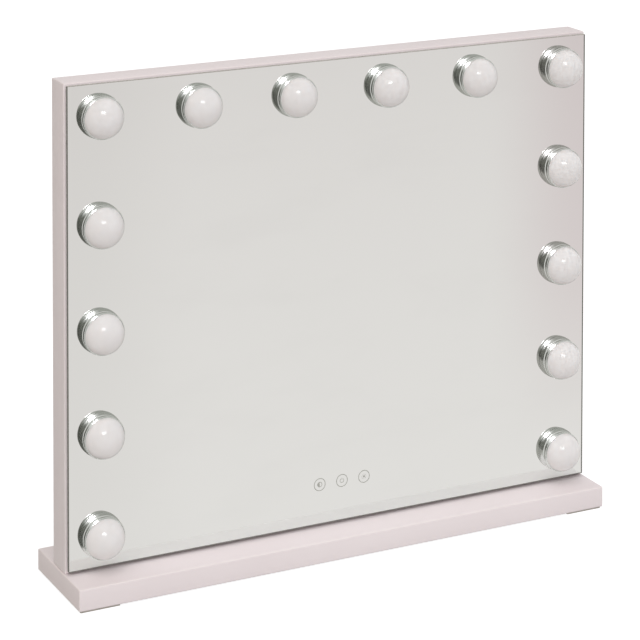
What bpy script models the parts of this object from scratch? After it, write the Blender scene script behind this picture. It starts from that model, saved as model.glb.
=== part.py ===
"""Lighted vanity mirror on a slab base, with fourteen plug-in globe bulbs.

Frame: +Z up, the mirror faces -Y, and the origin is the centre of the base's footprint on the plane
that its pads stand on. Every object is one piece of the mirror. Each bulb slides out of its socket
along -Y; its globe and its cap hang from an empty on that axis.
"""

import math

import bmesh
import bpy
from mathutils import Vector

GAP = 0.0003  # clearance left between neighbouring pieces

# Base slab and its pads
BASE_WIDTH = 0.580
BASE_DEPTH = 0.112
BASE_THICKNESS = 0.021
BASE_EDGE_RADIUS = 0.0012
PAD_SIDE = 0.040
PAD_THICKNESS = 0.0016
PAD_INSET = 0.002

# Mirror glass and the case behind it
GLASS_WIDTH = 0.574
GLASS_HEIGHT = 0.4653
GLASS_THICKNESS = 0.004
GLASS_SETBACK = 0.035  # from the base's front edge to the glass front
GLASS_LIFT = 0.0032  # from the base's top to the glass
CASE_LIP = 0.002  # case that shows past the glass at the top and the sides
CASE_DEPTH = 0.031
CASE_WALL = 0.012
CASE_EDGE_RADIUS = 0.001
TAPE_THICKNESS = 0.0009
TAPE_WIDTH = 0.008
BACK_THICKNESS = 0.003
REBATE_WIDTH = 0.007  # ledge of the case's back edge that holds the back panel

# Bulbs: their grid, and the turned profiles of one bulb and its socket. A reach is a distance in
# front of the glass, and a negative one lies behind its face.
BULBS_ACROSS = 6
BULBS_DOWN = 5
BULB_SIDE_INSET = 0.0321
BULB_TOP_INSET = 0.0308
BULB_BOTTOM_INSET = 0.0316
BULB_GAP_STEP = 0.0023  # each gap down a side is this much shorter than the gap above it
GLOBE_RADIUS = 0.0198
GLOBE_CENTRE_REACH = 0.0095
GLOBE_RIM_REACH = 0.0087
GLOBE_WALL = 0.0015
BEZEL_RADIUS = 0.0206
BEZEL_FRONT_REACH = 0.0135
BEZEL_BACK_REACH = 0.0080
NECK_RADIUS = 0.0188
PIN_RADIUS = 0.00275
PIN_TIP_REACH = -0.010
CUP_FLANGE_RADIUS = 0.0215
CUP_FLANGE_REACH = 0.0016
CUP_FRONT_RADIUS = 0.0205
CUP_FRONT_REACH = 0.0070
CUP_FLOOR_REACH = 0.0020
BARREL_RADIUS = 0.0055
BARREL_END_REACH = -0.022
SOCKET_BORE_END_REACH = -0.014
GLASS_HOLE_RADIUS = 0.0061
TURNED_SEGMENTS = 18
GLOBE_RINGS = 5

# Electrics inside the case
TOUCH_PITCH = 0.0248
TOUCH_HEIGHT = 0.0402  # from the glass's bottom edge to the touch points
TOUCH_OFFSET = 0.0033  # from the glass's middle to the middle touch point
TOUCH_PAD_RADIUS = 0.005
BOARD_LENGTH = 0.092
BOARD_HEIGHT = 0.020
BOARD_THICKNESS = 0.0016
BOARD_STANDOFF = 0.001  # sensor discs bridge this space between the glass and the board
# Each part on the board's back: its middle along X from the board's, length, height and depth
BOARD_CHIP = (0.0, 0.012, 0.010, 0.002)
BOARD_COIL = (-0.031, 0.010, 0.012, 0.005)
BOARD_PLUG = (0.035, 0.010, 0.012, 0.007)
JACK_OFFSET = 0.200  # from the middle to the power jack, towards +X
JACK_LENGTH = 0.014
JACK_FLANGE_RADIUS = 0.007
JACK_FLANGE_REACH = 0.0018
JACK_BORE_DEPTH = 0.009
JACK_CONTACT_RADIUS = 0.001
JACK_CONTACT_SETBACK = 0.001
JACK_CLEARANCE = 0.020
HARNESS_RADIUS = 0.0018
HARNESS_BEND = 0.007

# Fasteners
BASE_SCREW_OFFSET = 0.200
BASE_SCREW_SHANK = 0.0022
BASE_SCREW_HEAD = 0.0050
BASE_SCREW_HEAD_HEIGHT = 0.0035
BASE_SCREW_RECESS = 0.006
BASE_SCREW_BITE = 0.009
BACK_SCREW_SHANK = 0.0012
BACK_SCREW_HEAD = 0.0026
BACK_SCREW_HEAD_HEIGHT = 0.0014
BACK_SCREW_BITE = 0.010
HEAD_TAPER = 0.8
SCREW_SEGMENTS = 12

# Heights and depths that follow from the sizes above
BASE_BOTTOM = PAD_THICKNESS + GAP
BASE_TOP = BASE_BOTTOM + BASE_THICKNESS
CASE_BOTTOM = BASE_TOP + GAP
GLASS_BOTTOM = BASE_TOP + GLASS_LIFT
GLASS_TOP = GLASS_BOTTOM + GLASS_HEIGHT
CASE_TOP = GLASS_TOP + CASE_LIP
CASE_HALF_WIDTH = GLASS_WIDTH / 2 + CASE_LIP
GLASS_FRONT = GLASS_SETBACK - BASE_DEPTH / 2
GLASS_BACK = GLASS_FRONT + GLASS_THICKNESS
TAPE_FRONT = GLASS_BACK + GAP
CASE_FRONT = TAPE_FRONT + TAPE_THICKNESS + GAP
CASE_BACK = CASE_FRONT + CASE_DEPTH
BACK_FRONT = CASE_BACK - BACK_THICKNESS


def clear_scene():
    for obj in list(bpy.data.objects):
        bpy.data.objects.remove(obj, do_unlink=True)


def make_material(name, colour, roughness, metallic=0.0, transmission=0.0):
    material = bpy.data.materials.new(name)
    material.use_nodes = True
    shader = material.node_tree.nodes["Principled BSDF"]
    shader.inputs["Base Color"].default_value = (*colour, 1.0)
    shader.inputs["Roughness"].default_value = roughness
    shader.inputs["Metallic"].default_value = metallic
    shader.inputs["Transmission Weight"].default_value = transmission
    return material


def make_materials():
    return {
        "white_lacquer": make_material("white_lacquer", (0.80, 0.74, 0.74), 0.45),
        "mirror_silver": make_material("mirror_silver", (0.82, 0.84, 0.81), 0.02, 1.0),
        "opal_globe": make_material("opal_globe", (0.86, 0.80, 0.80), 0.25),
        "chrome": make_material("chrome", (0.78, 0.78, 0.78), 0.08, 1.0),
        "pad_foam": make_material("pad_foam", (0.50, 0.46, 0.40), 0.9),
        "tape_foam": make_material("tape_foam", (0.12, 0.12, 0.12), 0.9),
        "hardboard": make_material("hardboard", (0.72, 0.69, 0.67), 0.6),
        "circuit_board": make_material("circuit_board", (0.03, 0.16, 0.08), 0.4),
        "black_plastic": make_material("black_plastic", (0.03, 0.03, 0.03), 0.4),
        "cable_sheath": make_material("cable_sheath", (0.75, 0.75, 0.75), 0.5),
        "screw_steel": make_material("screw_steel", (0.45, 0.45, 0.46), 0.3, 1.0),
    }


def place_object(name, data, material=None, parent=None):
    obj = bpy.data.objects.new(name, data)
    bpy.context.scene.collection.objects.link(obj)
    if material is not None and not data.materials:
        data.materials.append(material)
    obj.parent = parent
    return obj


def add_box(mesh, low, high):
    """Add the axis-aligned box between two corners to a bmesh."""
    corners = [
        mesh.verts.new((x, y, z))
        for z in (low[2], high[2])
        for y in (low[1], high[1])
        for x in (low[0], high[0])
    ]
    sides = ((0, 2, 3, 1), (4, 5, 7, 6), (0, 1, 5, 4), (2, 6, 7, 3), (0, 4, 6, 2), (1, 3, 7, 5))
    for side in sides:
        mesh.faces.new([corners[index] for index in side])


def boxes_data(name, boxes):
    mesh = bmesh.new()
    for low, high in boxes:
        add_box(mesh, low, high)
    data = bpy.data.meshes.new(name)
    mesh.to_mesh(data)
    mesh.free()
    return data


def turned_data(name, profile, segments=TURNED_SEGMENTS):
    """Spin a profile of (radius, height) points, which starts and ends on the axis, about +Z."""
    mesh = bmesh.new()
    points = [mesh.verts.new((radius, 0.0, height)) for radius, height in profile]
    edges = [mesh.edges.new(pair) for pair in zip(points, points[1:])]
    bmesh.ops.spin(
        mesh,
        geom=points + edges,
        cent=(0.0, 0.0, 0.0),
        axis=(0.0, 0.0, 1.0),
        angle=math.tau,
        steps=segments,
        use_merge=True,
    )
    bmesh.ops.remove_doubles(mesh, verts=mesh.verts[:], dist=1e-6)
    bmesh.ops.recalc_face_normals(mesh, faces=mesh.faces[:])
    data = bpy.data.meshes.new(name)
    mesh.to_mesh(data)
    mesh.free()
    data.shade_smooth()
    data.set_sharp_from_angle(angle=math.radians(35))
    return data


def make_cutter(name, data):
    cutter = place_object(name, data)
    cutter.hide_render = True
    cutter.display_type = "WIRE"
    return cutter


def cut(obj, cutter):
    modifier = obj.modifiers.new("cut_" + cutter.name, "BOOLEAN")
    modifier.operation = "DIFFERENCE"
    modifier.solver = "EXACT"
    modifier.object = cutter


def join_with(obj, other):
    modifier = obj.modifiers.new("join_" + other.name, "BOOLEAN")
    modifier.operation = "UNION"
    modifier.solver = "EXACT"
    modifier.object = other


def round_edges(obj, radius, segments=2):
    modifier = obj.modifiers.new("rounded_edges", "BEVEL")
    modifier.width = radius
    modifier.segments = segments
    modifier.limit_method = "ANGLE"
    modifier.angle_limit = math.radians(60)


def turned_row(name, profile, places, turn=None, segments=TURNED_SEGMENTS):
    """One mesh holding a copy of a turned shape at each place, turned about X by an angle."""
    shape = turned_data(name + "_shape", profile, segments)
    mesh = bmesh.new()
    for place in places:
        first = len(mesh.verts)
        mesh.from_mesh(shape)
        mesh.verts.ensure_lookup_table()
        added = mesh.verts[first:]
        if turn is not None:
            rotate_about_x(mesh, added, turn)
        bmesh.ops.translate(mesh, verts=added, vec=place)
    data = bpy.data.meshes.new(name)
    mesh.to_mesh(data)
    mesh.free()
    bpy.data.meshes.remove(shape)
    return data


def rotate_about_x(mesh, verts, angle):
    sine, cosine = math.sin(angle), math.cos(angle)
    for vert in verts:
        _, y, z = vert.co
        vert.co.y = y * cosine - z * sine
        vert.co.z = y * sine + z * cosine


TURN_TO_FRONT = math.radians(90)  # turns +Z to -Y
TURN_TO_BACK = math.radians(-90)  # turns +Z to +Y


def rod_profile(radius, low, high):
    return [(0.0, high), (radius, high), (radius, low), (0.0, low)]


def bulb_places():
    """Each bulb's name and the (x, z) of its axis: a row along the top and a column down each side."""
    half = GLASS_WIDTH / 2 - BULB_SIDE_INSET
    top = GLASS_TOP - BULB_TOP_INSET
    across = 2 * half / (BULBS_ACROSS - 1)
    mean_gap = (top - GLASS_BOTTOM - BULB_BOTTOM_INSET) / (BULBS_DOWN - 1)
    places = {f"top_{i + 1}": (i * across - half, top) for i in range(BULBS_ACROSS)}
    height = top
    for i in range(1, BULBS_DOWN):
        height -= mean_gap + (BULBS_DOWN / 2 - i) * BULB_GAP_STEP
        places[f"left_{i}"] = (-half, height)
        places[f"right_{i}"] = (half, height)
    return places


def make_base(materials):
    low = (-BASE_WIDTH / 2, -BASE_DEPTH / 2, BASE_BOTTOM)
    high = (BASE_WIDTH / 2, BASE_DEPTH / 2, BASE_TOP)
    base = place_object("base_slab", boxes_data("base_slab", [(low, high)]), materials["white_lacquer"])
    round_edges(base, BASE_EDGE_RADIUS)
    head_top = BASE_BOTTOM + BASE_SCREW_RECESS
    profile = [
        (0.0, BASE_TOP + GAP),
        (BASE_SCREW_SHANK + GAP, BASE_TOP + GAP),
        (BASE_SCREW_SHANK + GAP, head_top),
        (BASE_SCREW_HEAD + 2 * GAP, head_top),
        (BASE_SCREW_HEAD + 2 * GAP, BASE_BOTTOM - GAP),
        (0.0, BASE_BOTTOM - GAP),
    ]
    holes = turned_row("base_screw_holes", profile, base_screw_places(), segments=SCREW_SEGMENTS)
    cut(base, make_cutter("base_screw_holes", holes))


def base_screw_places():
    depth = CASE_FRONT + CASE_DEPTH / 2
    return [(-BASE_SCREW_OFFSET, depth, 0.0), (BASE_SCREW_OFFSET, depth, 0.0)]


def make_base_screws(materials):
    head_top = BASE_BOTTOM + BASE_SCREW_RECESS - GAP
    head_bottom = head_top - BASE_SCREW_HEAD_HEIGHT
    profile = [
        (0.0, CASE_BOTTOM + BASE_SCREW_BITE),
        (BASE_SCREW_SHANK, CASE_BOTTOM + BASE_SCREW_BITE - BASE_SCREW_SHANK),
        (BASE_SCREW_SHANK, head_top),
        (BASE_SCREW_HEAD, head_top),
        (BASE_SCREW_HEAD * HEAD_TAPER, head_bottom),
        (0.0, head_bottom),
    ]
    data = turned_data("base_screw", profile, SCREW_SEGMENTS)
    for name, place in zip(("left", "right"), base_screw_places()):
        screw = place_object("base_screw_" + name, data, materials["screw_steel"])
        screw.location = place


def make_pads(materials):
    data = boxes_data("foot_pad", [((0.0, 0.0, 0.0), (PAD_SIDE, PAD_SIDE, PAD_THICKNESS))])
    left = PAD_INSET - BASE_WIDTH / 2
    front = PAD_INSET - BASE_DEPTH / 2
    places = {
        "front_left": (left, front),
        "front_right": (-left - PAD_SIDE, front),
        "rear_left": (left, -front - PAD_SIDE),
        "rear_right": (-left - PAD_SIDE, -front - PAD_SIDE),
    }
    for name, (x, y) in places.items():
        pad = place_object("foot_pad_" + name, data, materials["pad_foam"])
        pad.location = (x, y, 0.0)


def make_case(materials):
    """A ring of four walls, stepped at the back for the back panel."""
    outer = ((-CASE_HALF_WIDTH, CASE_FRONT, CASE_BOTTOM), (CASE_HALF_WIDTH, CASE_BACK, CASE_TOP))
    case = place_object("case_frame", boxes_data("case_frame", [outer]), materials["white_lacquer"])
    hollow = shrunk(outer, CASE_WALL, CASE_FRONT - GAP, CASE_BACK + GAP)
    rebate = shrunk(outer, CASE_WALL - REBATE_WIDTH, BACK_FRONT - GAP, CASE_BACK + GAP)
    round_edges(case, CASE_EDGE_RADIUS)
    cut(case, make_cutter("case_hollow", boxes_data("case_hollow", [hollow])))
    cut(case, make_cutter("case_rebate", boxes_data("case_rebate", [rebate])))
    bite = CASE_BOTTOM + BASE_SCREW_BITE + GAP
    pilot = rod_profile(BASE_SCREW_SHANK + GAP, CASE_BOTTOM - GAP, bite)
    pilots = turned_row("base_screw_pilots", pilot, base_screw_places(), segments=SCREW_SEGMENTS)
    cut(case, make_cutter("base_screw_pilots", pilots))
    pilot = rod_profile(BACK_SCREW_SHANK + GAP, -BACK_SCREW_BITE - GAP, GAP)
    pilots = turned_row(
        "back_screw_pilots", pilot, back_screw_places().values(), TURN_TO_BACK, SCREW_SEGMENTS
    )
    cut(case, make_cutter("back_screw_pilots", pilots))


def shrunk(box, margin, front, back):
    """The box with each side and the top and bottom moved in by a margin, and its own depth."""
    (left, _, bottom), (right, _, top) = box
    return (left + margin, front, bottom + margin), (right - margin, back, top - margin)


def back_panel_box():
    margin = CASE_WALL - REBATE_WIDTH + GAP
    outer = ((-CASE_HALF_WIDTH, 0.0, CASE_BOTTOM), (CASE_HALF_WIDTH, 0.0, CASE_TOP))
    return shrunk(outer, margin, BACK_FRONT, CASE_BACK)


def back_screw_places():
    """A screw in the middle of the rebate's ledge at each corner of the back panel."""
    inset = REBATE_WIDTH / 2
    (left, _, bottom), (right, back, top) = back_panel_box()
    return {
        "bottom_left": (left + inset, back, bottom + inset),
        "bottom_right": (right - inset, back, bottom + inset),
        "top_left": (left + inset, back, top - inset),
        "top_right": (right - inset, back, top - inset),
    }


def make_back(materials):
    panel = place_object(
        "back_panel", boxes_data("back_panel", [back_panel_box()]), materials["hardboard"]
    )
    hole = rod_profile(BACK_SCREW_SHANK + GAP, -BACK_THICKNESS - GAP, GAP)
    holes = turned_row(
        "back_screw_holes", hole, back_screw_places().values(), TURN_TO_BACK, SCREW_SEGMENTS
    )
    cut(panel, make_cutter("back_screw_holes", holes))
    hole = rod_profile(BARREL_RADIUS + GAP, -BACK_THICKNESS - GAP, GAP)
    holes = turned_row("jack_hole", hole, [jack_place()], TURN_TO_BACK)
    cut(panel, make_cutter("jack_hole", holes))
    profile = [
        (0.0, BACK_SCREW_HEAD_HEIGHT),
        (BACK_SCREW_HEAD * HEAD_TAPER, BACK_SCREW_HEAD_HEIGHT),
        (BACK_SCREW_HEAD, BACK_SCREW_HEAD_HEIGHT / 2),
        (BACK_SCREW_HEAD, GAP),
        (BACK_SCREW_SHANK, GAP),
        (BACK_SCREW_SHANK, BACK_SCREW_SHANK - BACK_SCREW_BITE),
        (0.0, -BACK_SCREW_BITE),
    ]
    data = turned_data("back_screw", profile, SCREW_SEGMENTS)
    for name, place in back_screw_places().items():
        screw = place_object("back_screw_" + name, data, materials["screw_steel"])
        screw.location = place
        screw.rotation_euler.x = TURN_TO_BACK


def jack_place():
    """On the back, at the height of the lowest bulbs."""
    return (JACK_OFFSET, CASE_BACK, GLASS_BOTTOM + BULB_BOTTOM_INSET)


def make_jack(materials):
    """A barrel power jack: a flanged sleeve through the back panel, with a contact pin in its bore."""
    bore = PIN_RADIUS + GAP
    profile = [
        (0.0, -JACK_CONTACT_SETBACK),
        (JACK_CONTACT_RADIUS, -JACK_CONTACT_SETBACK),
        (JACK_CONTACT_RADIUS, -JACK_BORE_DEPTH),
        (bore, -JACK_BORE_DEPTH),
        (bore, JACK_FLANGE_REACH),
        (JACK_FLANGE_RADIUS, JACK_FLANGE_REACH),
        (JACK_FLANGE_RADIUS, GAP),
        (BARREL_RADIUS, GAP),
        (BARREL_RADIUS, -JACK_LENGTH),
        (0.0, -JACK_LENGTH),
    ]
    jack = place_object("power_jack", turned_data("power_jack", profile), materials["black_plastic"])
    jack.location = jack_place()
    jack.rotation_euler.x = TURN_TO_BACK


def make_glass(materials):
    """The mirror plate, with a hole behind each bulb for its socket."""
    low = (-GLASS_WIDTH / 2, GLASS_FRONT, GLASS_BOTTOM)
    high = (GLASS_WIDTH / 2, GLASS_BACK, GLASS_TOP)
    glass = place_object(
        "mirror_glass", boxes_data("mirror_glass", [(low, high)]), materials["mirror_silver"]
    )
    hole = rod_profile(GLASS_HOLE_RADIUS, -GLASS_THICKNESS - GAP, GAP)
    seats = [(x, GLASS_FRONT, z) for x, z in bulb_places().values()]
    cut(glass, make_cutter("socket_holes", turned_row("socket_holes", hole, seats, TURN_TO_FRONT)))


def make_tape(materials):
    """The double-sided foam tape that holds the glass to the case's front edge."""
    outer = (
        (-GLASS_WIDTH / 2, 0.0, GLASS_BOTTOM),
        (GLASS_WIDTH / 2, 0.0, GLASS_TOP),
    )
    back = TAPE_FRONT + TAPE_THICKNESS
    tape_box = shrunk(outer, CASE_LIP, TAPE_FRONT, back)
    tape = place_object("mirror_tape", boxes_data("mirror_tape", [tape_box]), materials["tape_foam"])
    hollow = shrunk(outer, CASE_LIP + TAPE_WIDTH, TAPE_FRONT - GAP, back + GAP)
    cut(tape, make_cutter("tape_hollow", boxes_data("tape_hollow", [hollow])))


def globe_profile():
    """A thick dome, a little more than a half sphere, open at its rim: pole, rim, inner pole."""
    drop = math.asin((GLOBE_CENTRE_REACH - GLOBE_RIM_REACH) / GLOBE_RADIUS)
    outer = arc_points(GLOBE_RADIUS, math.pi / 2, -drop, GLOBE_RINGS)
    inner_radius = GLOBE_RADIUS - GLOBE_WALL
    drop = math.asin((GLOBE_CENTRE_REACH - GLOBE_RIM_REACH) / inner_radius)
    inner = arc_points(inner_radius, -drop, math.pi / 2, GLOBE_RINGS - 1)
    return outer + inner


def arc_points(radius, start, end, steps):
    """Points of the globe's circle from one latitude to another, with the pole exactly on the axis."""
    points = []
    for step in range(steps + 1):
        angle = start + (end - start) * step / steps
        across = 0.0 if math.isclose(angle, math.pi / 2) else radius * math.cos(angle)
        points.append((across, GLOBE_CENTRE_REACH + radius * math.sin(angle)))
    return points


def cap_profile():
    """The bulb's metal cap: a seat for the globe inside a bezel, a neck, and the plug pin."""
    seat = GLOBE_RIM_REACH - GAP
    neck_back = CUP_FLOOR_REACH + GAP
    return [
        (0.0, seat),
        (GLOBE_RADIUS + GAP, seat),
        (GLOBE_RADIUS + GAP, BEZEL_FRONT_REACH),
        (BEZEL_RADIUS, BEZEL_FRONT_REACH),
        (BEZEL_RADIUS, BEZEL_BACK_REACH),
        (NECK_RADIUS, BEZEL_BACK_REACH),
        (NECK_RADIUS, neck_back),
        (PIN_RADIUS, neck_back),
        (PIN_RADIUS, PIN_TIP_REACH),
        (0.0, PIN_TIP_REACH),
    ]


def socket_profile():
    """The cup on the glass's front, and the barrel with the plug's bore behind it."""
    bore = PIN_RADIUS + GAP
    wall = NECK_RADIUS + GAP
    return [
        (0.0, SOCKET_BORE_END_REACH),
        (bore, SOCKET_BORE_END_REACH),
        (bore, CUP_FLOOR_REACH),
        (wall, CUP_FLOOR_REACH),
        (wall, CUP_FRONT_REACH),
        (CUP_FRONT_RADIUS, CUP_FRONT_REACH),
        (CUP_FLANGE_RADIUS, CUP_FLANGE_REACH),
        (CUP_FLANGE_RADIUS, GAP),
        (BARREL_RADIUS, GAP),
        (BARREL_RADIUS, BARREL_END_REACH),
        (0.0, BARREL_END_REACH),
    ]


def make_bulbs(materials):
    globe_data = turned_data("globe", globe_profile())
    cap_data = turned_data("bulb_cap", cap_profile())
    socket_data = turned_data("socket", socket_profile())
    for name, (x, z) in bulb_places().items():
        seat = place_object("bulb_axis_" + name, None)
        seat.location = (x, GLASS_FRONT, z)
        seat.rotation_euler.x = TURN_TO_FRONT
        place_object("globe_" + name, globe_data, materials["opal_globe"], seat)
        place_object("bulb_cap_" + name, cap_data, materials["chrome"], seat)
        place_object("socket_" + name, socket_data, materials["chrome"], seat)


def board_front():
    return GLASS_BACK + 2 * GAP + BOARD_STANDOFF


def board_plug_place():
    """The back of the touch board's cable plug."""
    middle_x, _, _, depth = BOARD_PLUG
    back = board_front() + BOARD_THICKNESS + depth
    return (TOUCH_OFFSET + middle_x, back, GLASS_BOTTOM + TOUCH_HEIGHT)


def board_part(middle_x, length, height, depth):
    """A block standing on the back of the touch board."""
    middle_x += TOUCH_OFFSET
    middle_z = GLASS_BOTTOM + TOUCH_HEIGHT
    back = board_front() + BOARD_THICKNESS
    low = (middle_x - length / 2, back - GAP, middle_z - height / 2)
    high = (middle_x + length / 2, back + depth, middle_z + height / 2)
    return low, high


def make_touch_board(materials):
    """The touch and dimmer board behind the glass, with a sensor disc for each touch point."""
    front, middle = board_front(), GLASS_BOTTOM + TOUCH_HEIGHT
    low = (TOUCH_OFFSET - BOARD_LENGTH / 2, front, middle - BOARD_HEIGHT / 2)
    high = (TOUCH_OFFSET + BOARD_LENGTH / 2, front + BOARD_THICKNESS, middle + BOARD_HEIGHT / 2)
    board = place_object(
        "touch_board", boxes_data("touch_board", [(low, high)]), materials["circuit_board"]
    )
    disc = rod_profile(TOUCH_PAD_RADIUS, -GAP, BOARD_STANDOFF)
    spots = [(TOUCH_OFFSET + step * TOUCH_PITCH, front, middle) for step in (-1, 0, 1)]
    join_with(board, make_cutter("touch_discs", turned_row("touch_discs", disc, spots, TURN_TO_FRONT)))
    blocks = [board_part(*sizes) for sizes in (BOARD_CHIP, BOARD_COIL, BOARD_PLUG)]
    fitted = boxes_data("board_components", blocks)
    join_with(board, make_cutter("board_components", fitted))


def harness_corners():
    """The cable's corners: from the touch board, round behind every socket, to the power jack."""
    places = bulb_places()
    left, top = places["top_1"]
    right, bottom = places["right_4"]
    behind_sockets = GLASS_FRONT - BARREL_END_REACH + HARNESS_RADIUS + 2 * GAP
    plug_x, plug_y, plug_z = board_plug_place()
    jack_x, _, jack_z = jack_place()
    jack_end = CASE_BACK - JACK_LENGTH
    before_jack = jack_end - HARNESS_BEND - GAP
    return [
        (plug_x, plug_y + GAP, plug_z),
        (plug_x, behind_sockets, plug_z),
        (left, behind_sockets, plug_z),
        (left, behind_sockets, top),
        (right, behind_sockets, top),
        (right, behind_sockets, bottom),
        (jack_x + JACK_CLEARANCE, behind_sockets, bottom),
        (jack_x + JACK_CLEARANCE, before_jack, jack_z),
        (jack_x, before_jack, jack_z),
        (jack_x, jack_end - GAP, jack_z),
    ]


def rounded_route(corners, bend, steps=3):
    """The corners joined by straight runs, with each inner corner replaced by a curve."""
    route = [Vector(corners[0])]
    for before, corner, after in zip(corners, corners[1:], corners[2:]):
        corner = Vector(corner)
        inward = Vector(before) - corner
        outward = Vector(after) - corner
        reach = min(bend, 0.45 * inward.length, 0.45 * outward.length)
        start = corner + inward.normalized() * reach
        end = corner + outward.normalized() * reach
        for step in range(steps + 1):
            t = step / steps
            route.append((1 - t) ** 2 * start + 2 * t * (1 - t) * corner + t**2 * end)
    route.append(Vector(corners[-1]))
    return route


def make_harness(materials):
    points = rounded_route(harness_corners(), HARNESS_BEND)
    curve = bpy.data.curves.new("wiring_harness", "CURVE")
    curve.dimensions = "3D"
    curve.bevel_depth = HARNESS_RADIUS
    curve.bevel_resolution = 1
    curve.use_fill_caps = True
    spline = curve.splines.new("POLY")
    spline.points.add(len(points) - 1)
    for spline_point, place in zip(spline.points, points):
        spline_point.co = (*place, 1.0)
    place_object("wiring_harness", curve, materials["cable_sheath"])


def main():
    clear_scene()
    materials = make_materials()
    make_base(materials)
    make_base_screws(materials)
    make_pads(materials)
    make_case(materials)
    make_back(materials)
    make_jack(materials)
    make_glass(materials)
    make_tape(materials)
    make_bulbs(materials)
    make_touch_board(materials)
    make_harness(materials)


main()
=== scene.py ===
"""Looks of the lighted vanity mirror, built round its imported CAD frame.

Metres, +Z up, and the mirror faces -Y. The base, the glass, the case, the sockets and the fittings
ride on the body mirror_stand. Each globe and its collar ride on their own bulb's body.
"""

import math

import bmesh
import bpy
from mathutils import Matrix, Vector


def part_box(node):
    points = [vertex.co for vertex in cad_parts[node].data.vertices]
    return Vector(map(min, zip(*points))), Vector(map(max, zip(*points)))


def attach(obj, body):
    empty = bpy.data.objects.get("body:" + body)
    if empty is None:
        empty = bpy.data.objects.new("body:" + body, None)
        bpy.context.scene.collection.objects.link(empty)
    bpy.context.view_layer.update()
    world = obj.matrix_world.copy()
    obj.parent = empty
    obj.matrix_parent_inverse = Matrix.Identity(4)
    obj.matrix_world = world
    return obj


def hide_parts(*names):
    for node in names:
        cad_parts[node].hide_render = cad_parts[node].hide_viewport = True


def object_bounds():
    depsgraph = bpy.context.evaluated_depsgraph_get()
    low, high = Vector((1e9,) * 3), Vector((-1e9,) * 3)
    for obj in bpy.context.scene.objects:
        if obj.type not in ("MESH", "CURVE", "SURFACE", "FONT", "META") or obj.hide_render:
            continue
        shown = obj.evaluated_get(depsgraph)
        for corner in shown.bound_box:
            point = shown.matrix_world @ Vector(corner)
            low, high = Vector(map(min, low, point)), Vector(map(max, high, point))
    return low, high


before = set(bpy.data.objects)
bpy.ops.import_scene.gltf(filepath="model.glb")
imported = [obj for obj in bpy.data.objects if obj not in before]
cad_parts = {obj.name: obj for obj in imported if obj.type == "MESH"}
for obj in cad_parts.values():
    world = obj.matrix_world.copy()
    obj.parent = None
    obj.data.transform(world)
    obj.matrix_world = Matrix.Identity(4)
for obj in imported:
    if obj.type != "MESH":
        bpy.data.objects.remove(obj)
cad_low, cad_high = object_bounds()

STAND = "mirror_stand"
GAP = 0.0003  # clearance between neighbouring pieces, as in the frame
WELD_REACH = 0.000005  # corners closer than this are one corner
ON_AXIS = 0.000001  # a smaller radius than this is a point on the lathe's axis
SHARP_ANGLE = 35.0  # faces that meet at more than this are shaded with a sharp edge
BLUNT_ANGLE = 60.0  # faces that meet at less than this keep their edge unrounded
UPRIGHT = Matrix()  # keeps +Z
TO_FRONT = Matrix.Rotation(math.radians(90), 4, "X")  # turns +Z to -Y
TO_BACK = Matrix.Rotation(math.radians(-90), 4, "X")  # turns +Z to +Y
BULBS = [name[len("globe_") :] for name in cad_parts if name.startswith("globe_")]

# Boards and glass, with the radius of their edges
BASE_EDGE = 0.0012
CASE_EDGE = 0.0010
CASE_WALL = 0.012
REBATE_WIDTH = 0.007
PANEL_EDGE = 0.0005
PAD_EDGE = 0.0005
GLASS_ARRIS = 0.0003
GLASS_BENDING = 1.52  # how strongly glass bends light
GLASS_HOLE_RADIUS = 0.0061

# One bulb and its socket. Heights are reaches in front of the glass, and negative behind its face.
GLOBE_RADIUS = 0.0198
GLOBE_CENTRE = 0.0095
GLOBE_RIM = 0.0087
GLOBE_WALL = 0.0015
COLLAR_RADIUS = 0.0206
COLLAR_FRONT = 0.0135
COLLAR_BACK = 0.0080
BEAD_LENGTH = 0.0014
BEAD_STEP = 0.0004
NECK_RADIUS = 0.0188
NECK_BACK = 0.0023
NECK_CHAMFER = 0.0007
GROOVE_FRONT = 0.0062
GROOVE_BACK = 0.0044
GROOVE_DEPTH = 0.0006
GROOVE_SLOPE = 0.0004
DISH_OUTER = 0.0145
DISH_INNER = 0.0070
DISH_DEPTH = 0.0008
DISH_SLOPE = 0.0005
PIN_RADIUS = 0.00275
PIN_RING_FRONT = -0.0052
PIN_RING_BACK = -0.0066
PIN_TIP = -0.010
PIN_TIP_ROUND = 0.0012
CUP_BACK_RADIUS = 0.0215
CUP_FRONT_RADIUS = 0.0205
CUP_FRONT = 0.0070
CUP_LIP = 0.0004
CUP_FOOT = 0.0012
CUP_FLOOR = 0.0020
CONTACT_RADIUS = 0.0052
WELL_RADIUS = 0.0170
WELL_SLOPE = 0.0004
WELL_DEPTH = 0.0003
BARREL_RADIUS = 0.0055
BARREL_END = -0.022
BARREL_TIP_RADIUS = 0.004
BORE_RADIUS = 0.00305
BORE_END = -0.014
THREAD_START = -0.0006
THREAD_PITCH = 0.0012
THREAD_DEPTH = 0.0004

# Radii of moulded corners
CRISP = 0.0002
SOFT = 0.0003

# Touch marks on the glass
TOUCH_PITCH = 0.0248
TOUCH_RADIUS = 0.00645
TOUCH_LINE = 0.00075
SYMBOL_LINE = 0.00056
INK_HEIGHT = 0.00004
INK_CLEARANCE = 0.000005

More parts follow.
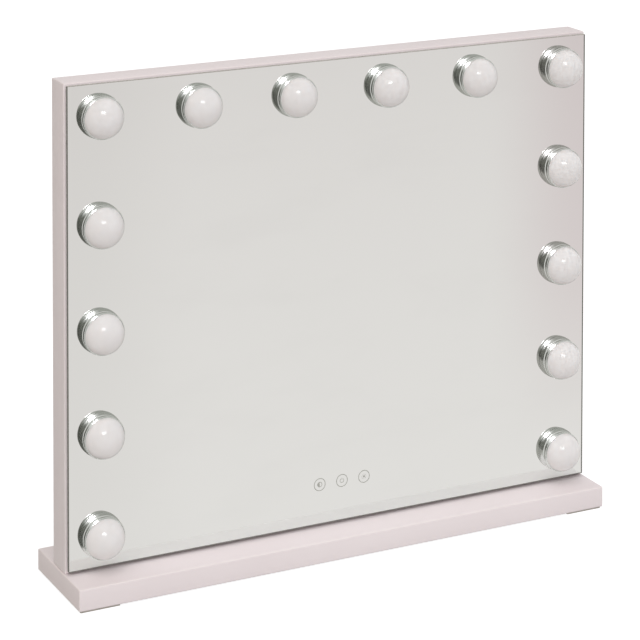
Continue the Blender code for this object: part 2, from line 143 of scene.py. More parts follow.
# Screws and power jack
SCREW_HEAD = 0.0026
SCREW_HEAD_HEIGHT = 0.0014
SCREW_SHANK = 0.0012
SCREW_END = -0.010
BASE_SCREW_HEAD = 0.0050
BASE_SCREW_HEAD_HEIGHT = 0.0035
BASE_SCREW_SHANK = 0.0022
BASE_SCREW_RECESS = 0.006
SCREW_SHARPNESS = 0.00002  # rounding on the edges of a screw
JACK_FLANGE = 0.0070
JACK_FLANGE_ROUND = 0.0007
JACK_REACH = 0.0018
JACK_END = -0.014
JACK_BORE_END = -0.009
JACK_CONTACT_RADIUS = 0.001
JACK_CONTACT_FRONT = -0.001

# Camera, in degrees and millimetres of lens, tilted a little and shifted down to the mirror
CAMERA_PLACE = (-1.1174, -2.2150, 0.9961)
CAMERA_TURN = 27.04
CAMERA_TILT = 2.82
CAMERA_ROLL = 0.11
CAMERA_LENS = 141.07
CAMERA_SHIFT = {"shift_x": -0.0355, "shift_y": -1.0117}

# Studio: a soft key light from the front left and above, a low one from behind, a small lamp that
# only makes glints, and an even fill. Angles are in degrees.
KEY_DIRECTION = Vector((-0.27, -0.68, 0.68)).normalized()
KEY_STRENGTH = 1.85
KEY_ANGLE = 60.0
REAR_DIRECTION = Vector((0.30, 0.95, 0.01)).normalized()
REAR_STRENGTH = 1.1
REAR_ANGLE = 6.0
SUN_DISTANCE = 3.0
GLINT_DIRECTION = Vector((-0.275, -0.715, 0.643)).normalized()
GLINT_STRENGTH = 10.5
GLINT_DISTANCE = 8.0
GLINT_HALF_WIDTH = 11.0
GLINT_HALF_HEIGHT = 7.0
PANEL_OUTER = 30.0
PANEL_INNER = 6.0
FILL = 0.51
DEEP_REFLECTION = 1.5  # glossy bounces, above which a ray is on its second reflection
FLOOR_SIDE = 60.0
FLOOR_THICKNESS = 0.02
PALE_ROOM = (0.76, 0.76, 0.735)


# ---- Node trees -------------------------------------------------------------------------------


class Tree:
    """Short calls that add a node and give back one of its outputs."""

    def __init__(self, owner):
        owner.use_nodes = True
        self.tree = owner.node_tree
        self.tree.nodes.clear()

    def add(self, kind, inputs=None, output=0, **settings):
        node = self.tree.nodes.new("ShaderNode" + kind)
        for name, value in settings.items():
            setattr(node, name, value)
        for name, value in (inputs or {}).items():
            if isinstance(value, bpy.types.NodeSocket):
                self.tree.links.new(value, node.inputs[name])
            else:
                node.inputs[name].default_value = value
        return node.outputs[output] if node.outputs else None

    def math(self, operation, first, second=0.0):
        return self.add("Math", {0: first, 1: second}, operation=operation)

    def ramp(self, value, start, end, low=0.0, high=1.0, smooth=True):
        """Value between start and end, brought to low and high and held there."""
        inputs = {"Value": value, "From Min": start, "From Max": end, "To Min": low, "To Max": high}
        kind = "SMOOTHSTEP" if smooth else "LINEAR"
        return self.add("MapRange", inputs, interpolation_type=kind)

    def mix(self, factor, first, second):
        """Two colours mixed. A colour is a socket or three numbers."""
        first, second = [c if isinstance(c, bpy.types.NodeSocket) else (*c, 1.0) for c in (first, second)]
        return self.add("Mix", {0: factor, 6: first, 7: second}, output=2, data_type="RGBA")

    def place(self):
        return self.add("TexCoord", output="Object")

    def noise(self, scale, detail=3.0, stretch=None, rough=0.5):
        """Cloudy noise from 0 to 1, with so many features to the metre."""
        place = self.place()
        if stretch:
            place = self.add("Mapping", {"Vector": place, "Scale": stretch})
        return self.add("TexNoise", {"Vector": place, "Scale": scale, "Detail": detail, "Roughness": rough})

    def cells(self, scale):
        return self.add("TexVoronoi", {"Vector": self.place(), "Scale": scale})

    def bump(self, height, distance, strength=1.0, normal=None):
        inputs = {"Height": height, "Distance": distance, "Strength": strength}
        if normal:
            inputs["Normal"] = normal
        return self.add("Bump", inputs, output="Normal")

    def part(self, vector, axis):
        return self.add("SeparateXYZ", {0: vector}, output=axis)

    def edges(self):
        """1 on rounded edges and 0 on faces that look along an axis."""
        normal = self.add("NewGeometry", output="Normal")
        sizes = [self.math("ABSOLUTE", self.part(normal, axis)) for axis in "XYZ"]
        widest = self.math("MAXIMUM", self.math("MAXIMUM", sizes[0], sizes[1]), sizes[2])
        return self.ramp(widest, 0.995, 0.80)

    def light_path(self, name):
        return self.add("LightPath", output=name)

    def deep(self):
        """1 for a ray on its second reflection or later, and 0 before."""
        return self.math("GREATER_THAN", self.light_path("Glossy Depth"), DEEP_REFLECTION)

    def surface(self, **inputs):
        """Principled surface on the material's output. A name's underscores stand for spaces."""
        named = {}
        for name, value in inputs.items():
            colour = isinstance(value, tuple) and len(value) == 3 and name.endswith(("Color", "Tint"))
            named[name.replace("_", " ")] = (*value, 1.0) if colour else value
        self.output("Material", self.add("BsdfPrincipled", named))

    def output(self, kind, shader):
        self.add("Output" + kind, {"Surface": shader})


def material(name):
    made = bpy.data.materials.new(name)
    return made, Tree(made)


# ---- Materials --------------------------------------------------------------------------------


def white_lacquer():
    """Satin lacquer sprayed on fibreboard: orange peel, thinner and warmer on the edges. Where the
    mirror shows it, it takes a paler painted colour that stands in for light on its reflection."""
    made, t = material("white_lacquer")
    cloud = t.noise(7.0, 4.0)
    tone = t.mix(t.ramp(cloud, 0.3, 0.7), (0.795, 0.722, 0.735), (0.818, 0.748, 0.760))
    tone = t.mix(t.math("MULTIPLY", t.edges(), 0.35), tone, (0.74, 0.66, 0.64))
    peel = t.bump(t.noise(420.0, 2.0), 0.00006, 0.5)
    grain = t.bump(t.noise(2600.0, 2.0), 0.00001, 0.4, peel)
    rough = t.ramp(t.noise(60.0, 3.0), 0.3, 0.7, 0.40, 0.50)
    # Painted light: seen in the mirror, the lacquer takes this paler colour instead of its own.
    tone = t.mix(t.light_path("Is Glossy Ray"), tone, (0.84, 0.84, 0.83))
    t.surface(Base_Color=tone, Roughness=rough, Normal=grain, Specular_IOR_Level=0.32)
    return made


def mirror_face():
    """Silvered glass, with the faintest wiped film on it. Painted reflection makes it darker towards its
    left side and darker and pinker towards its upper right, and shows the far edges dark through the
    glass, over a strip that widens with the slant of the view."""
    made, t = material("mirror_face")
    low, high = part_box("mirror_glass")
    left_reflection_band = 0.25 * (high.x - low.x)
    right_reflection_band = 0.22 * (high.x - low.x)
    right_reflection_full = 0.6 * high.z  # the height from which the painted reflection on the right is at its strongest
    place = t.place()
    film = t.ramp(t.noise(9.0, 5.0, (1.0, 1.0, 2.5)), 0.45, 0.75)
    tone = t.mix(film, (0.930, 0.915, 0.920), (0.915, 0.900, 0.905))
    # Painted reflection: darker towards the left side, darker and pinker towards the upper right.
    left = t.ramp(t.part(place, "X"), low.x + left_reflection_band, low.x)
    right = t.ramp(t.part(place, "X"), high.x - right_reflection_band, high.x)
    right = t.math("MULTIPLY", right, t.ramp(t.part(place, "Z"), low.z, right_reflection_full))
    tone = t.mix(left, tone, (0.875, 0.860, 0.862))
    tone = t.mix(right, tone, (0.840, 0.775, 0.795))
    # Painted reflection: the dark edge of the glass seen through its face, as a strip that widens with the
    # slant of the view.
    looking = t.add("NewGeometry", output="Incoming")
    shallowest = 0.05  # keeps the division below in bounds for a view along the glass
    depth = t.math("MAXIMUM", t.math("ABSOLUTE", t.part(looking, "Y")), shallowest)
    strip = (high.y - low.y) / GLASS_BENDING
    for axis, near, far, shade in (("X", low.x, high.x, (0.21, 0.205, 0.195)),
                                   ("Z", low.z, high.z, (0.30, 0.29, 0.28))):
        spot = t.part(place, axis)
        slant = t.math("MULTIPLY", t.math("DIVIDE", t.part(looking, axis), depth), strip)
        shows = t.math("LESS_THAN", t.math("SUBTRACT", spot, near), slant)
        beyond = t.math("GREATER_THAN", t.math("SUBTRACT", spot, far), slant)
        tone = t.mix(t.math("MAXIMUM", shows, beyond), tone, shade)
    rough = t.ramp(film, 0.0, 1.0, 0.006, 0.022, False)
    t.surface(Base_Color=tone, Metallic=1.0, Roughness=rough)
    return made


def glass_edge():
    """Ground and polished edge of float glass, dark in its depth. Painted light makes it lighter towards
    the white case, and a painted highlight makes it lighter along the top."""
    made, t = material("glass_edge")
    low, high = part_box("mirror_glass")
    streak = t.noise(300.0, 3.0, (1.0, 6.0, 1.0))
    tone = t.mix(streak, (0.095, 0.092, 0.080), (0.135, 0.130, 0.115))
    # Painted light: lighter towards the back, where the white case lies behind the glass.
    rear = t.ramp(t.part(t.place(), "Y"), (low.y + high.y) / 2, high.y)
    tone = t.mix(t.math("MULTIPLY", rear, 0.8), tone, (0.55, 0.52, 0.49))
    # Painted highlight: faces that look up are lighter, as if lit from above.
    above = t.ramp(t.part(t.add("NewGeometry", output="Normal"), "Z"), 0.5, 0.9)
    tone = t.mix(above, tone, (0.42, 0.39, 0.35))
    rough = t.ramp(streak, 0.3, 0.7, 0.18, 0.32)
    t.surface(Base_Color=tone, Roughness=rough, Specular_IOR_Level=0.35)
    return made


def mirror_backing():
    """Grey protective paint over the silvering."""
    made, t = material("mirror_backing")
    cloud = t.noise(30.0, 4.0)
    tone = t.mix(cloud, (0.26, 0.27, 0.28), (0.34, 0.35, 0.36))
    t.surface(Base_Color=tone, Roughness=0.7, Normal=t.bump(t.noise(500.0), 0.00005, 0.4))
    return made


def opal_plastic():
    """Milky diffuser plastic with a glossy moulded skin, and a faint painted glow that evens out its
    shading.
    """
    made, t = material("opal_plastic")
    cloud = t.noise(55.0, 3.0)
    tone = t.mix(t.ramp(cloud, 0.3, 0.7), (0.87, 0.765, 0.76), (0.90, 0.795, 0.79))
    skin = t.bump(t.noise(700.0, 2.0), 0.00002, 0.3)
    rough = t.ramp(t.noise(120.0), 0.3, 0.7, 0.10, 0.13)
    t.surface(
        Base_Color=tone,
        # Painted light: a faint glow, though the bulbs are unlit, that evens out the globe's shading.
        Emission_Color=(1.0, 0.91, 0.92),
        Emission_Strength=0.06,
        Roughness=rough,
        Normal=skin,
        Subsurface_Weight=1.0,
        Subsurface_Scale=0.012,
        Subsurface_Radius=(1.0, 0.9, 0.85),
        Specular_IOR_Level=0.45,
    )
    return made


def chrome():
    """Bright plating on moulded plastic, which ripples very slightly."""
    made, t = material("chrome")
    ripple = t.bump(t.noise(130.0, 1.0), 0.0003, 0.25)
    haze = t.noise(45.0, 4.0)
    tone = t.mix(haze, (0.80, 0.81, 0.80), (0.86, 0.865, 0.86))
    rough = t.ramp(haze, 0.3, 0.7, 0.20, 0.25)
    t.surface(Base_Color=tone, Metallic=1.0, Roughness=rough, Normal=ripple)
    return made


def nickel():
    """Nickel-plated brass, worn in fine streaks where it makes contact."""
    made, t = material("nickel_contact")
    wear = t.noise(900.0, 3.0)
    tone = t.mix(wear, (0.62, 0.58, 0.50), (0.72, 0.68, 0.60))
    t.surface(Base_Color=tone, Metallic=1.0, Roughness=t.ramp(wear, 0.3, 0.7, 0.18, 0.32))
    return made


def black_plastic():
    """Moulded black plastic with a fine spark-eroded texture."""
    made, t = material("black_plastic")
    grain = t.noise(2500.0, 3.0)
    tone = t.mix(grain, (0.022, 0.022, 0.023), (0.042, 0.042, 0.043))
    t.surface(Base_Color=tone, Roughness=0.45, Normal=t.bump(grain, 0.00004, 0.6))
    return made


def foam(name, dark, light):
    """Closed-cell foam, with open pores on its cut sides."""
    made, t = material(name)
    pores = t.cells(1800.0)
    tone = t.mix(t.ramp(pores, 0.1, 0.6), dark, light)
    t.surface(Base_Color=tone, Roughness=0.92, Normal=t.bump(pores, 0.0002, 0.7))
    return made


def painted_hardboard():
    """Pressed fibreboard under one thin coat of white paint."""
    made, t = material("painted_hardboard")
    fibres = t.noise(260.0, 6.0, (1.0, 1.0, 3.0), 0.7)
    blotches = t.noise(12.0, 4.0)
    tone = t.mix(t.ramp(fibres, 0.3, 0.75), (0.66, 0.625, 0.60), (0.735, 0.705, 0.685))
    tone = t.mix(t.math("MULTIPLY", blotches, 0.2), tone, (0.62, 0.58, 0.54))
    tone = t.mix(t.math("MULTIPLY", t.edges(), 0.6), tone, (0.42, 0.34, 0.26))
    rough = t.ramp(fibres, 0.3, 0.7, 0.55, 0.72)
    t.surface(Base_Color=tone, Roughness=rough, Normal=t.bump(fibres, 0.0002, 0.5))
    return made


def zinc_steel():
    """Zinc-plated steel with turning marks."""
    made, t = material("zinc_steel")
    spangle = t.cells(1400.0)
    tone = t.mix(spangle, (0.52, 0.52, 0.53), (0.66, 0.66, 0.68))
    marks = t.noise(2200.0, 2.0)
    rough = t.ramp(marks, 0.3, 0.7, 0.24, 0.38)
    t.surface(Base_Color=tone, Metallic=1.0, Roughness=rough, Normal=t.bump(marks, 0.00003, 0.5))
    return made


def grey_ink():
    """Ink screened on the glass for the touch marks."""
    made, t = material("grey_ink")
    cover = t.noise(1500.0, 2.0)
    tone = t.mix(cover, (0.36, 0.365, 0.335), (0.42, 0.425, 0.39))
    t.surface(Base_Color=tone, Roughness=0.6, Normal=t.bump(cover, 0.00002, 0.4))
    return made


def circuit_board():
    """Green solder mask over copper tracks. What stands behind the board is black plastic."""
    made, t = material("circuit_board")
    place = t.place()
    tracks = t.add(
        "TexBrick",
        {"Vector": t.add("Mapping", {"Vector": place, "Rotation": (math.radians(90), 0.0, 0.0)}),
         "Scale": 260.0, "Mortar Size": 0.12, "Color1": (0, 0, 0, 1), "Color2": (0, 0, 0, 1),
         "Mortar": (1, 1, 1, 1)},
    )
    tone = t.mix(tracks, (0.020, 0.120, 0.055), (0.035, 0.200, 0.085))
    low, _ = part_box("touch_board")
    laminate = 0.0028
    behind = t.math("GREATER_THAN", t.part(place, "Y"), low.y + laminate)
    tone = t.mix(behind, tone, (0.03, 0.03, 0.032))
    rough = t.ramp(t.noise(400.0), 0.3, 0.7, 0.30, 0.42)
    t.surface(Base_Color=tone, Roughness=rough, Normal=t.bump(tracks, 0.00003, 0.5))
    return made


def cable_sheath():
    """Soft white vinyl, slightly matte."""
    made, t = material("cable_sheath")
    matte = t.noise(800.0, 3.0)
    tone = t.mix(matte, (0.66, 0.65, 0.63), (0.76, 0.75, 0.73))
    t.surface(Base_Color=tone, Roughness=0.5, Normal=t.bump(matte, 0.00003, 0.5))
    return made


LACQUER = white_lacquer()
CHROME = chrome()
OPAL = opal_plastic()
NICKEL = nickel()
BLACK = black_plastic()
STEEL = zinc_steel()
INK = grey_ink()


# ---- Mesh making ------------------------------------------------------------------------------


def piece(name, data, body, slot, *replaced, at=(0.0, 0.0, 0.0)):
    """Place a mesh as a piece of the object, riding on a body and standing for CAD nodes."""
    made = bpy.data.objects.new(name, data)
    bpy.context.scene.collection.objects.link(made)
    made.location = at
    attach(made, body)
    if replaced:
        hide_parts(*replaced)
    return made


def smooth(data):
    data.shade_smooth()
    data.set_sharp_from_angle(angle=math.radians(SHARP_ANGLE))
    return data


def rounded(corners, steps=5):
    """Replace each (radius, height, fillet) corner by an arc. Corners with no fillet stay sharp."""
    points = []
    for index, (radius, height, *fillet) in enumerate(corners):
        corner = Vector((radius, height))
        if not fillet:
            points.append(corner)
            continue
        back = (Vector(corners[index - 1][:2]) - corner).normalized()
        ahead = (Vector(corners[index + 1][:2]) - corner).normalized()
        half = back.angle(ahead) / 2
        centre = corner + (back + ahead).normalized() * fillet[0] / math.sin(half)
        start = corner + back * fillet[0] / math.tan(half) - centre
        turn = start.angle_signed(corner + ahead * fillet[0] / math.tan(half) - centre)
        for step in range(steps + 1):
            points.append(centre + Matrix.Rotation(-turn * step / steps, 2) @ start)
    return [tuple(point) for point in points]


def arc(centre, radius, start, end, steps):
    """Points of a circle about (0, centre), from one latitude in degrees to another."""
    points = []
    for step in range(steps + 1):
        angle = math.radians(start + (end - start) * step / steps)
        points.append((max(radius * math.cos(angle), 0.0), centre + radius * math.sin(angle)))
    return points


def lathe(name, sections, segments, turn=TO_FRONT):
    """Spin a profile about +Z, then turn the mesh. Each section is (material, points), and each
    starts where the one before it ends. The whole profile starts and ends on the axis."""
    mesh = bmesh.new()
    spots = []
    paint = []
    for index, (_, points) in enumerate(sections):
        fresh = points if index == 0 else points[1:]
        spots += fresh
        paint += [index] * (len(points) - 1)
    rings = []
    for radius, height in spots:
        count = 1 if radius < ON_AXIS else segments
        turns = [math.tau * step / segments for step in range(count)]
        rings.append([mesh.verts.new((radius * math.cos(a), radius * math.sin(a), height)) for a in turns])
    for index, (lower, upper) in enumerate(zip(rings, rings[1:])):
        for step in range(segments):
            after = (step + 1) % segments
            pairs = [lower[step % len(lower)], lower[after % len(lower)]]
            pairs += [upper[after % len(upper)], upper[step % len(upper)]]
            corners = list(dict.fromkeys(pairs))
            if len(corners) > 2:
                mesh.faces.new(corners).material_index = paint[index]
    bmesh.ops.recalc_face_normals(mesh, faces=mesh.faces[:])
    mesh.transform(turn)
    data = bpy.data.meshes.new(name)
    mesh.to_mesh(data)
    mesh.free()
    for made, _ in sections:
        data.materials.append(made)
    return smooth(data)


def box(name, low, high):
    mesh = bmesh.new()
    bmesh.ops.create_cube(mesh, size=1.0)
    middle = (Vector(low) + Vector(high)) / 2
    size = Vector(high) - Vector(low)
    mesh.transform(Matrix.Translation(middle) @ Matrix.Diagonal((*size, 1.0)))
    data = bpy.data.meshes.new(name)
    mesh.to_mesh(data)
    mesh.free()
    return data


def rod(radius, low, high, segments, place, turn):
    """A plain cylinder, used only to cut holes."""
    data = lathe("rod", [(None, [(0.0, high), (radius, high), (radius, low), (0.0, low)])], segments, turn)
    data.transform(Matrix.Translation(place))
    return data


def shaped(data, edge, cutters=(), segments=4):
    """Round a mesh's edges, cut the other meshes out of it, and close the seams left by the cuts."""
    body = bpy.data.objects.new("shaping", data)
    helpers = [body]
    bpy.context.scene.collection.objects.link(body)
    bevel = body.modifiers.new("edge", "BEVEL")
    bevel.width = edge
    bevel.segments = segments
    bevel.limit_method = "ANGLE"
    bevel.angle_limit = math.radians(BLUNT_ANGLE)
    for cutter_data in cutters:
        cutter = bpy.data.objects.new("cutter", cutter_data)
        bpy.context.scene.collection.objects.link(cutter)
        helpers.append(cutter)
        cut = body.modifiers.new("cut", "BOOLEAN")
        cut.operation = "DIFFERENCE"
        cut.object = cutter
    graph = bpy.context.evaluated_depsgraph_get()
    done = bpy.data.meshes.new_from_object(body.evaluated_get(graph))
    for helper in helpers:
        bpy.data.objects.remove(helper)
    mesh = bmesh.new()
    mesh.from_mesh(done)
    bmesh.ops.remove_doubles(mesh, verts=mesh.verts[:], dist=WELD_REACH)
    bmesh.ops.holes_fill(mesh, edges=[side for side in mesh.edges if side.is_boundary], sides=0)
    mesh.to_mesh(done)
    mesh.free()
    done.name = data.name
    done.materials.clear()
    return smooth(done)


def shrunk(low, high, margin, front, back):
    """The box of a CAD node with its sides, bottom and top moved in, and its own depth."""
    return (
        (low.x + margin, front, low.z + margin),
        (high.x - margin, back, high.z - margin),
    )


def joined(name, meshes):
    """Several meshes as one, keeping their materials."""
    mesh = bmesh.new()
    found = []
    for data in meshes:
        first = len(mesh.faces)
        mesh.from_mesh(data)
        mesh.faces.ensure_lookup_table()
        for face in mesh.faces[first:]:
            own = data.materials[face.material_index]
            if own not in found:
                found.append(own)
            face.material_index = found.index(own)
    data = bpy.data.meshes.new(name)
    mesh.to_mesh(data)
    mesh.free()
    for own in found:
        data.materials.append(own)
    return data


# ---- Boards: base, pads, case and back --------------------------------------------------------


def base_screw_places():
    for side in ("left", "right"):
        low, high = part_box("base_screw_" + side)
        middle = (low + high) / 2
        yield side, Vector((middle.x, middle.y, 0.0))


def back_screw_places():
    for corner in ("bottom_left", "bottom_right", "top_left", "top_right"):
        low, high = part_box("back_screw_" + corner)
        middle = (low + high) / 2
        _, panel_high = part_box("back_panel")
        yield corner, Vector((middle.x, panel_high.y, middle.z))


def make_base():
    low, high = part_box("base_slab")
    holes = []
    for _, spot in base_screw_places():
        bottom = low.z - GAP
        recess_top = low.z + BASE_SCREW_RECESS
        holes.append(rod(BASE_SCREW_HEAD + 2 * GAP, bottom, recess_top, 32, spot, UPRIGHT))
        holes.append(rod(BASE_SCREW_SHANK + GAP, low.z, high.z + GAP, 24, spot, UPRIGHT))
    data = shaped(box("base_board", low, high), BASE_EDGE, holes, 5)
    data.materials.append(LACQUER)
    piece("base_board", data, STAND, "white_lacquer", "base_slab")


def make_pads():
    rubber = foam("pad_foam", (0.34, 0.31, 0.27), (0.52, 0.48, 0.43))
    for corner in ("front_left", "front_right", "rear_left", "rear_right"):
        node = "foot_pad_" + corner
        data = shaped(box(node, *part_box(node)), PAD_EDGE, segments=3)
        data.materials.append(rubber)
        piece("foam_pad_" + corner, data, STAND, "pad_foam", node)


def make_case():
    low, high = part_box("case_frame")
    panel_low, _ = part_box("back_panel")
    hollow = box("hollow", *shrunk(low, high, CASE_WALL, low.y - GAP, high.y + GAP))
    step = CASE_WALL - REBATE_WIDTH
    rebate = box("rebate", *shrunk(low, high, step, panel_low.y - GAP, high.y + GAP))
    cutters = [hollow, rebate]
    for _, spot in back_screw_places():
        cutters.append(rod(SCREW_SHANK + GAP, SCREW_END - GAP, GAP, 16, spot, TO_BACK))
    for side, spot in base_screw_places():
        _, screw_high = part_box("base_screw_" + side)
        cutters.append(rod(BASE_SCREW_SHANK + GAP, low.z - GAP, screw_high.z + GAP, 16, spot, UPRIGHT))
    data = shaped(box("case_ring", low, high), CASE_EDGE, cutters)
    data.materials.append(LACQUER)
    piece("case_ring", data, STAND, "white_lacquer", "case_frame")


def make_back():
    low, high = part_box("back_panel")
    cutters = [rod(BARREL_RADIUS + GAP, low.y - high.y - GAP, GAP, 32, jack_place(), TO_BACK)]
    for _, spot in back_screw_places():
        cutters.append(rod(SCREW_SHANK + GAP, low.y - high.y - GAP, GAP, 16, spot, TO_BACK))
    data = shaped(box("back_cover", low, high), PANEL_EDGE, cutters, 3)
    data.materials.append(painted_hardboard())
    piece("back_cover", data, STAND, "hardboard", "back_panel")


def crosshead(name, head, height, shank, end):
    """A cross-recess screw along +Z, with a domed head and a threaded shank."""
    crown = 0.78 * head
    root = 0.78 * shank
    pitch = 0.9 * shank
    point = 2.0 * shank
    profile = rounded([(0.0, height), (crown, height, 0.35 * head), (head, 0.4 * height, 0.2 * height),
                       (head, GAP), (shank, GAP)])
    thread = []
    turns = int((-end - point) / pitch)
    for turn in range(turns):
        top = -turn * pitch
        thread += [(shank, top), (root, top - pitch / 2)]
    tip = [(shank, -turns * pitch), (0.0, end)]
    data = lathe(name, [(STEEL, profile + thread + tip)], 32, UPRIGHT)
    reach = 0.6 * head
    half = 0.16 * head
    floor = height - 0.55 * head
    blades = []
    for angle in (45.0, 135.0):
        blade = box("blade", (-reach, -half, floor), (reach, half, height + head))
        blade.transform(Matrix.Rotation(math.radians(angle), 4, "Z"))
        blades.append(blade)
    made = shaped(data, SCREW_SHARPNESS, blades, 1)
    made.materials.append(STEEL)
    return made


def make_screws():
    short_screw = crosshead("panel_screw", SCREW_HEAD, SCREW_HEAD_HEIGHT, SCREW_SHANK, SCREW_END)
    short_screw.transform(TO_BACK)
    for corner, spot in back_screw_places():
        piece("panel_screw_" + corner, short_screw, STAND, "screw_steel", "back_screw_" + corner, at=spot)
    for side, spot in base_screw_places():
        low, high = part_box("base_screw_" + side)
        end = BASE_SCREW_HEAD_HEIGHT - (high.z - low.z)
        long_screw = crosshead("slab_screw", BASE_SCREW_HEAD, BASE_SCREW_HEAD_HEIGHT, BASE_SCREW_SHANK, end)
        long_screw.transform(Matrix.Rotation(math.radians(180), 4, "X"))
        spot.z = low.z + BASE_SCREW_HEAD_HEIGHT
        piece("slab_screw_" + side, long_screw, STAND, "screw_steel", "base_screw_" + side, at=spot)


# ---- Mirror glass -----------------------------------------------------------------------------


def bulb_seats():
    """Each bulb's name and where its axis meets the front of the glass."""
    glass_low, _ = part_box("mirror_glass")
    for bulb in BULBS:
        low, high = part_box("socket_" + bulb)
        middle = (low + high) / 2
        yield bulb, Vector((middle.x, glass_low.y, middle.z))


def make_glass():
    low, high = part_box("mirror_glass")
    depth = high.y - low.y
    holes = [rod(GLASS_HOLE_RADIUS, -depth - GAP, GAP, 32, spot, TO_FRONT) for _, spot in bulb_seats()]
    data = shaped(box("mirror_plate", low, high), GLASS_ARRIS, holes, 1)
    for made in (glass_edge(), mirror_face(), mirror_backing()):
        data.materials.append(made)
    for face in data.polygons:
        if face.normal.y < -0.99:
            face.material_index = 1
        elif face.normal.y > 0.99:
            face.material_index = 2
        else:
            face.material_index = 0
    data.shade_flat()
    piece("mirror_plate", data, STAND, "mirror_silver", "mirror_glass")


# ---- Touch marks ------------------------------------------------------------------------------


def inked(mesh):
    """The mesh turned into data that carries the ink, with its faces outwards."""
    bmesh.ops.recalc_face_normals(mesh, faces=mesh.faces[:])
    data = bpy.data.meshes.new("ink")
    mesh.to_mesh(data)
    mesh.free()
    data.materials.append(INK)
    return data


def flat_shape(outline):
    """A thin plate on the glass from a closed (x, z) outline."""
    mesh = bmesh.new()
    face = mesh.faces.new([mesh.verts.new((x, 0.0, z)) for x, z in outline])
    made = bmesh.ops.extrude_face_region(mesh, geom=[face])
    moved = [item for item in made["geom"] if isinstance(item, bmesh.types.BMVert)]
    bmesh.ops.translate(mesh, verts=moved, vec=(0.0, -INK_HEIGHT, 0.0))
    return inked(mesh)


def ring_sector(outer, inner, start, end, steps=48):
    """Outline of part of a ring, between two angles in degrees from +X."""
    angles = [math.radians(start + (end - start) * step / steps) for step in range(steps + 1)]
    out = [(outer * math.cos(a), outer * math.sin(a)) for a in angles]
    if inner <= 0.0:
        return out
    return out + [(inner * math.cos(a), inner * math.sin(a)) for a in reversed(angles)]


def bar(length, width, middle, angle=0.0):
    """Outline of a bar at (x, z), turned by an angle in degrees."""
    turn = Matrix.Rotation(math.radians(angle), 2)
    corners = ((-1, -1), (1, -1), (1, 1), (-1, 1))
    points = [turn @ Vector((length * x / 2, width * z / 2)) for x, z in corners]
    return [(middle[0] + point.x, middle[1] + point.y) for point in points]


def flat_ring(outer, width, steps=96):
    """A thin whole ring on the glass, made as one closed solid."""
    mesh = bmesh.new()
    loops = []
    corners = ((outer, 0.0), (outer, -INK_HEIGHT), (outer - width, -INK_HEIGHT), (outer - width, 0.0))
    for radius, depth in corners:
        turns = [math.tau * step / steps for step in range(steps)]
        loops.append([mesh.verts.new((radius * math.cos(a), depth, radius * math.sin(a))) for a in turns])
    for first, second in zip(loops, loops[1:] + loops[:1]):
        for step in range(steps):
            after = (step + 1) % steps
            mesh.faces.new((first[step], first[after], second[after], second[step]))
    return inked(mesh)


def power_symbol():
    outer = 0.36 * TOUCH_RADIUS
    outlines = [
        ring_sector(outer, outer - SYMBOL_LINE, 125, 415),
        bar(SYMBOL_LINE, 0.9 * outer, (0.0, 0.75 * outer)),
    ]
    return [flat_shape(outline) for outline in outlines]


def half_disc_symbol():
    outer = 0.42 * TOUCH_RADIUS
    half = ring_sector(outer - SYMBOL_LINE - INK_HEIGHT, 0.0, 90, 270)
    return [flat_ring(outer, SYMBOL_LINE), flat_shape(half)]


def sun_symbol():
    core = 0.17 * TOUCH_RADIUS
    reach = 0.36 * TOUCH_RADIUS
    length = 0.14 * TOUCH_RADIUS
    width = 0.8 * SYMBOL_LINE
    sides = 48
    rays = 8
    shapes = [flat_shape(ring_sector(core, 0.0, 0, 360 - 360 / sides, sides - 1))]
    for step in range(rays):
        angle = 360 * step / rays
        middle = (reach * math.cos(math.radians(angle)), reach * math.sin(math.radians(angle)))
        shapes.append(flat_shape(bar(length, width, middle, angle)))
    return shapes


def make_touch_marks():
    low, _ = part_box("mirror_glass")
    board_low, board_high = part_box("touch_board")
    middle = (board_low + board_high) / 2
    symbols = (("tint", half_disc_symbol()), ("power", power_symbol()), ("dimmer", sun_symbol()))
    for step, (name, shapes) in zip((-1, 0, 1), symbols):
        data = joined("touch_mark_" + name, [flat_ring(TOUCH_RADIUS, TOUCH_LINE)] + shapes)
        spot = (middle.x + step * TOUCH_PITCH, low.y - INK_CLEARANCE, middle.z)
        piece("touch_mark_" + name, data, STAND, "black_plastic", at=spot)


# ---- Bulbs and sockets ------------------------------------------------------------------------


def globe_mesh():
    """A thin opal dome, a little over half a sphere, open at its rim."""
    drop = math.degrees(math.asin((GLOBE_CENTRE - GLOBE_RIM) / GLOBE_RADIUS))
    outer = arc(GLOBE_CENTRE, GLOBE_RADIUS, 90.0, -drop, 26)
    inner = arc(GLOBE_CENTRE, GLOBE_RADIUS - GLOBE_WALL, -drop, 90.0, 20)
    return lathe("globe", [(OPAL, outer + inner)], 72)


